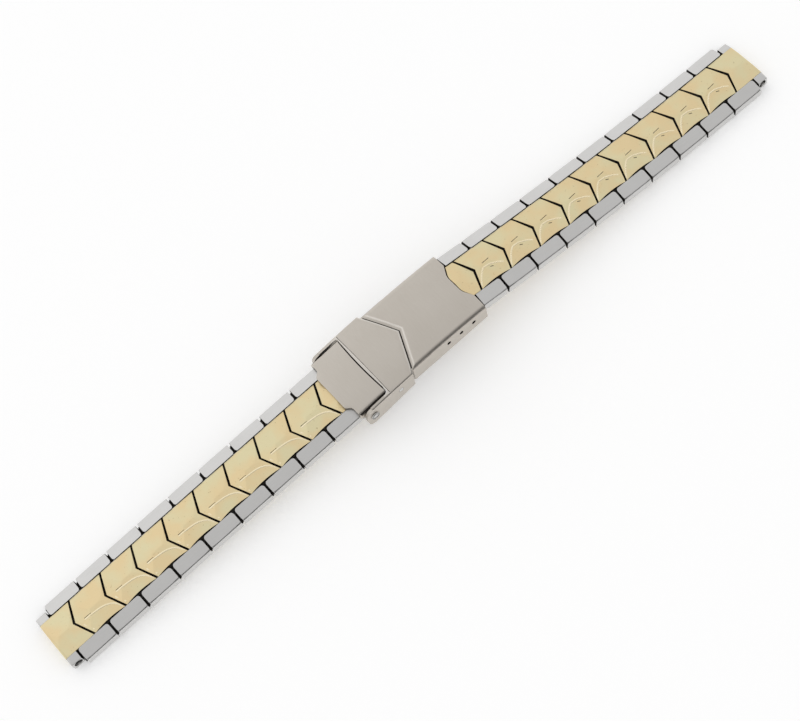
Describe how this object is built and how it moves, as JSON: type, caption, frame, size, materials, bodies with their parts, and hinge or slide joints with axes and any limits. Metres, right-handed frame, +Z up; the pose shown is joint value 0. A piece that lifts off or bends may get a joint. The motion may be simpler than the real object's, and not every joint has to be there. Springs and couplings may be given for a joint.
{
  "type": "watch bracelet",
  "caption": "Two-tone metal link bracelet for a wristwatch, with gold arrow links between steel links and a folding clasp with a safety flap.",
  "frame": {"origin": "middle of the underside of the bracelet's box, on the table it lies on", "axes": "+X along the band from the safety flap's side towards the cover's adjusting holes, +Y across the band, +Z up"},
  "size_m": [0.1654, 0.016, 0.0098],
  "materials": {
    "gold_links": "pale gold plating, satin",
    "steel_links": "satin stainless steel",
    "clasp_steel": "brushed stainless steel",
    "fittings_steel": "plain stainless steel"
  },
  "bodies": {
    "clasp": {"clasp_cover": "clasp_steel", "flap_rivets": "fittings_steel", "cover_hinge_pin": "fittings_steel", "clasp_spring_bar": "fittings_steel"},
    "safety_flap": {"safety_flap": "clasp_steel"},
    "middle_blade": {"middle_blade": "fittings_steel"},
    "bottom_blade": {"bottom_blade": "fittings_steel", "fold_hinge_pin": "fittings_steel", "left_link_pin": "fittings_steel"},
    "clasp_link_left": {"clasp_link_left": "gold_links"},
    "outer_links_left_01": {"outer_links_left_01": "steel_links"},
    "centre_link_left_01": {"centre_link_left_01": "gold_links"},
    "outer_links_left_02": {"outer_links_left_02": "steel_links"},
    "centre_link_left_02": {"centre_link_left_02": "gold_links"},
    "outer_links_left_03": {"outer_links_left_03": "steel_links"},
    "centre_link_left_03": {"centre_link_left_03": "gold_links"},
    "outer_links_left_04": {"outer_links_left_04": "steel_links"},
    "centre_link_left_04": {"centre_link_left_04": "gold_links"},
    "outer_links_left_05": {"outer_links_left_05": "steel_links"},
    "centre_link_left_05": {"centre_link_left_05": "gold_links"},
    "outer_links_left_06": {"outer_links_left_06": "steel_links"},
    "centre_link_left_06": {"centre_link_left_06": "gold_links"},
    "outer_links_left_07": {"outer_links_left_07": "steel_links"},
    "centre_link_left_07": {"centre_link_left_07": "gold_links"},
    "outer_links_left_08": {"outer_links_left_08": "steel_links"},
    "centre_link_left_08": {"centre_link_left_08": "gold_links"},
    "outer_links_left_09": {"outer_links_left_09": "steel_links"},
    "case_end_left": {"case_end_link_left": "gold_links", "case_end_lugs_left": "steel_links"},
    "clasp_link_right": {"clasp_link_right": "gold_links"},
    "outer_links_right_01": {"outer_links_right_01": "steel_links"},
    "centre_link_right_01": {"centre_link_right_01": "gold_links"},
    "outer_links_right_02": {"outer_links_right_02": "steel_links"},
    "centre_link_right_02": {"centre_link_right_02": "gold_links"},
    "outer_links_right_03": {"outer_links_right_03": "steel_links"},
    "centre_link_right_03": {"centre_link_right_03": "gold_links"},
    "outer_links_right_04": {"outer_links_right_04": "steel_links"},
    "centre_link_right_04": {"centre_link_right_04": "gold_links"},
    "outer_links_right_05": {"outer_links_right_05": "steel_links"},
    "centre_link_right_05": {"centre_link_right_05": "gold_links"},
    "outer_links_right_06": {"outer_links_right_06": "steel_links"},
    "centre_link_right_06": {"centre_link_right_06": "gold_links"},
    "outer_links_right_07": {"outer_links_right_07": "steel_links"},
    "centre_link_right_07": {"centre_link_right_07": "gold_links"},
    "outer_links_right_08": {"outer_links_right_08": "steel_links"},
    "centre_link_right_08": {"centre_link_right_08": "gold_links"},
    "outer_links_right_09": {"outer_links_right_09": "steel_links"},
    "centre_link_right_09": {"centre_link_right_09": "gold_links"},
    "outer_links_right_10": {"outer_links_right_10": "steel_links"},
    "case_end_right": {"case_end_link_right": "gold_links", "case_end_lugs_right": "steel_links"}
  },
  "joints": [
    {"name": "safety_flap_hinge", "type": "hinge", "parent": "clasp", "child": "safety_flap", "pos_m": [-0.0156, 0, 0.00552], "axis": [0, 1, 0], "range_deg": [0, 38]},
    {"name": "cover_hinge", "type": "hinge", "parent": "clasp", "child": "middle_blade", "pos_m": [-0.0093, 0, 0.00662], "axis": [0, -1, 0], "range_deg": [-165, 0]},
    {"name": "fold_hinge", "type": "hinge", "parent": "middle_blade", "child": "bottom_blade", "pos_m": [0.001, 0, 0.00662], "axis": [0, -1, 0], "range_deg": [0, 165]},
    {"name": "left_joint_01", "type": "hinge", "parent": "bottom_blade", "child": "clasp_link_left", "pos_m": [-0.015, 0, 0.00542], "axis": [0, -1, 0], "range_deg": [-4, 20]},
    {"name": "left_joint_02", "type": "hinge", "parent": "clasp_link_left", "child": "outer_links_left_01", "pos_m": [-0.01853, 0, 0.00521], "axis": [0, 1, 0], "range_deg": [-20, 4]},
    {"name": "left_joint_03", "type": "hinge", "parent": "outer_links_left_01", "child": "centre_link_left_01", "pos_m": [-0.02205, 0, 0.005], "axis": [0, -1, 0], "range_deg": [-4, 20]},
    {"name": "left_joint_04", "type": "hinge", "parent": "centre_link_left_01", "child": "outer_links_left_02", "pos_m": [-0.02558, 0, 0.00479], "axis": [0, 1, 0], "range_deg": [-20, 4]},
    {"name": "left_joint_05", "type": "hinge", "parent": "outer_links_left_02", "child": "centre_link_left_02", "pos_m": [-0.0291, 0, 0.00458], "axis": [0, -1, 0], "range_deg": [-4, 20]},
    {"name": "left_joint_06", "type": "hinge", "parent": "centre_link_left_02", "child": "outer_links_left_03", "pos_m": [-0.03262, 0, 0.00436], "axis": [0, 1, 0], "range_deg": [-20, 4]},
    {"name": "left_joint_07", "type": "hinge", "parent": "outer_links_left_03", "child": "centre_link_left_03", "pos_m": [-0.03615, 0, 0.00414], "axis": [0, -1, 0], "range_deg": [-4, 20]},
    {"name": "left_joint_08", "type": "hinge", "parent": "centre_link_left_03", "child": "outer_links_left_04", "pos_m": [-0.03967, 0, 0.00392], "axis": [0, 1, 0], "range_deg": [-20, 4]},
    {"name": "left_joint_09", "type": "hinge", "parent": "outer_links_left_04", "child": "centre_link_left_04", "pos_m": [-0.04319, 0, 0.00369], "axis": [0, -1, 0], "range_deg": [-4, 20]},
    {"name": "left_joint_10", "type": "hinge", "parent": "centre_link_left_04", "child": "outer_links_left_05", "pos_m": [-0.04671, 0, 0.00347], "axis": [0, 1, 0], "range_deg": [-20, 4]},
    {"name": "left_joint_11", "type": "hinge", "parent": "outer_links_left_05", "child": "centre_link_left_05", "pos_m": [-0.05024, 0, 0.00323], "axis": [0, -1, 0], "range_deg": [-4, 20]},
    {"name": "left_joint_12", "type": "hinge", "parent": "centre_link_left_05", "child": "outer_links_left_06", "pos_m": [-0.05376, 0, 0.003], "axis": [0, 1, 0], "range_deg": [-20, 4]},
    {"name": "left_joint_13", "type": "hinge", "parent": "outer_links_left_06", "child": "centre_link_left_06", "pos_m": [-0.05728, 0, 0.00276], "axis": [0, -1, 0], "range_deg": [-4, 20]},
    {"name": "left_joint_14", "type": "hinge", "parent": "centre_link_left_06", "child": "outer_links_left_07", "pos_m": [-0.0608, 0, 0.00252], "axis": [0, 1, 0], "range_deg": [-20, 4]},
    {"name": "left_joint_15", "type": "hinge", "parent": "outer_links_left_07", "child": "centre_link_left_07", "pos_m": [-0.06432, 0, 0.00228], "axis": [0, -1, 0], "range_deg": [-4, 20]},
    {"name": "left_joint_16", "type": "hinge", "parent": "centre_link_left_07", "child": "outer_links_left_08", "pos_m": [-0.06785, 0, 0.00203], "axis": [0, 1, 0], "range_deg": [-20, 4]},
    {"name": "left_joint_17", "type": "hinge", "parent": "outer_links_left_08", "child": "centre_link_left_08", "pos_m": [-0.07137, 0, 0.00178], "axis": [0, -1, 0], "range_deg": [-4, 20]},
    {"name": "left_joint_18", "type": "hinge", "parent": "centre_link_left_08", "child": "outer_links_left_09", "pos_m": [-0.07489, 0, 0.00153], "axis": [0, 1, 0], "range_deg": [-20, 4]},
    {"name": "left_joint_19", "type": "hinge", "parent": "outer_links_left_09", "child": "case_end_left", "pos_m": [-0.07841, 0, 0.00127], "axis": [0, -1, 0], "range_deg": [-4, 20]},
    {"name": "right_joint_01", "type": "hinge", "parent": "clasp", "child": "clasp_link_right", "pos_m": [0.00822, 0, 0.00757], "axis": [0, 1, 0], "range_deg": [-4, 20]},
    {"name": "right_joint_02", "type": "hinge", "parent": "clasp_link_right", "child": "outer_links_right_01", "pos_m": [0.01177, 0, 0.0074], "axis": [0, -1, 0], "range_deg": [-20, 4]},
    {"name": "right_joint_03", "type": "hinge", "parent": "outer_links_right_01", "child": "centre_link_right_01", "pos_m": [0.01525, 0, 0.00681], "axis": [0, 1, 0], "range_deg": [-4, 20]},
    {"name": "right_joint_04", "type": "hinge", "parent": "centre_link_right_01", "child": "outer_links_right_02", "pos_m": [0.01874, 0, 0.00625], "axis": [0, -1, 0], "range_deg": [-20, 4]},
    {"name": "right_joint_05", "type": "hinge", "parent": "outer_links_right_02", "child": "centre_link_right_02", "pos_m": [0.02223, 0, 0.00572], "axis": [0, 1, 0], "range_deg": [-4, 20]},
    {"name": "right_joint_06", "type": "hinge", "parent": "centre_link_right_02", "child": "outer_links_right_03", "pos_m": [0.02572, 0, 0.00522], "axis": [0, -1, 0], "range_deg": [-20, 4]},
    {"name": "right_joint_07", "type": "hinge", "parent": "outer_links_right_03", "child": "centre_link_right_03", "pos_m": [0.02922, 0, 0.00475], "axis": [0, 1, 0], "range_deg": [-4, 20]},
    {"name": "right_joint_08", "type": "hinge", "parent": "centre_link_right_03", "child": "outer_links_right_04", "pos_m": [0.03272, 0, 0.0043], "axis": [0, -1, 0], "range_deg": [-20, 4]},
    {"name": "right_joint_09", "type": "hinge", "parent": "outer_links_right_04", "child": "centre_link_right_04", "pos_m": [0.03623, 0, 0.00388], "axis": [0, 1, 0], "range_deg": [-4, 20]},
    {"name": "right_joint_10", "type": "hinge", "parent": "centre_link_right_04", "child": "outer_links_right_05", "pos_m": [0.03973, 0, 0.00349], "axis": [0, -1, 0], "range_deg": [-20, 4]},
    {"name": "right_joint_11", "type": "hinge", "parent": "outer_links_right_05", "child": "centre_link_right_05", "pos_m": [0.04325, 0, 0.00313], "axis": [0, 1, 0], "range_deg": [-4, 20]},
    {"name": "right_joint_12", "type": "hinge", "parent": "centre_link_right_05", "child": "outer_links_right_06", "pos_m": [0.04676, 0, 0.0028], "axis": [0, -1, 0], "range_deg": [-20, 4]},
    {"name": "right_joint_13", "type": "hinge", "parent": "outer_links_right_06", "child": "centre_link_right_06", "pos_m": [0.05028, 0, 0.00249], "axis": [0, 1, 0], "range_deg": [-4, 20]},
    {"name": "right_joint_14", "type": "hinge", "parent": "centre_link_right_06", "child": "outer_links_right_07", "pos_m": [0.0538, 0, 0.00221], "axis": [0, -1, 0], "range_deg": [-20, 4]},
    {"name": "right_joint_15", "type": "hinge", "parent": "outer_links_right_07", "child": "centre_link_right_07", "pos_m": [0.05732, 0, 0.00197], "axis": [0, 1, 0], "range_deg": [-4, 20]},
    {"name": "right_joint_16", "type": "hinge", "parent": "centre_link_right_07", "child": "outer_links_right_08", "pos_m": [0.06084, 0, 0.00175], "axis": [0, -1, 0], "range_deg": [-20, 4]},
    {"name": "right_joint_17", "type": "hinge", "parent": "outer_links_right_08", "child": "centre_link_right_08", "pos_m": [0.06437, 0, 0.00155], "axis": [0, 1, 0], "range_deg": [-4, 20]},
    {"name": "right_joint_18", "type": "hinge", "parent": "centre_link_right_08", "child": "outer_links_right_09", "pos_m": [0.06789, 0, 0.00139], "axis": [0, -1, 0], "range_deg": [-20, 4]},
    {"name": "right_joint_19", "type": "hinge", "parent": "outer_links_right_09", "child": "centre_link_right_09", "pos_m": [0.07142, 0, 0.00126], "axis": [0, 1, 0], "range_deg": [-4, 20]},
    {"name": "right_joint_20", "type": "hinge", "parent": "centre_link_right_09", "child": "outer_links_right_10", "pos_m": [0.07495, 0, 0.00115], "axis": [0, -1, 0], "range_deg": [-20, 4]},
    {"name": "right_joint_21", "type": "hinge", "parent": "outer_links_right_10", "child": "case_end_right", "pos_m": [0.07848, 0, 0.00107], "axis": [0, 1, 0], "range_deg": [-4, 20]}
  ],
  "couplings": [
    {"joint": "fold_hinge", "follows": "cover_hinge", "ratio": -1}
  ]
}
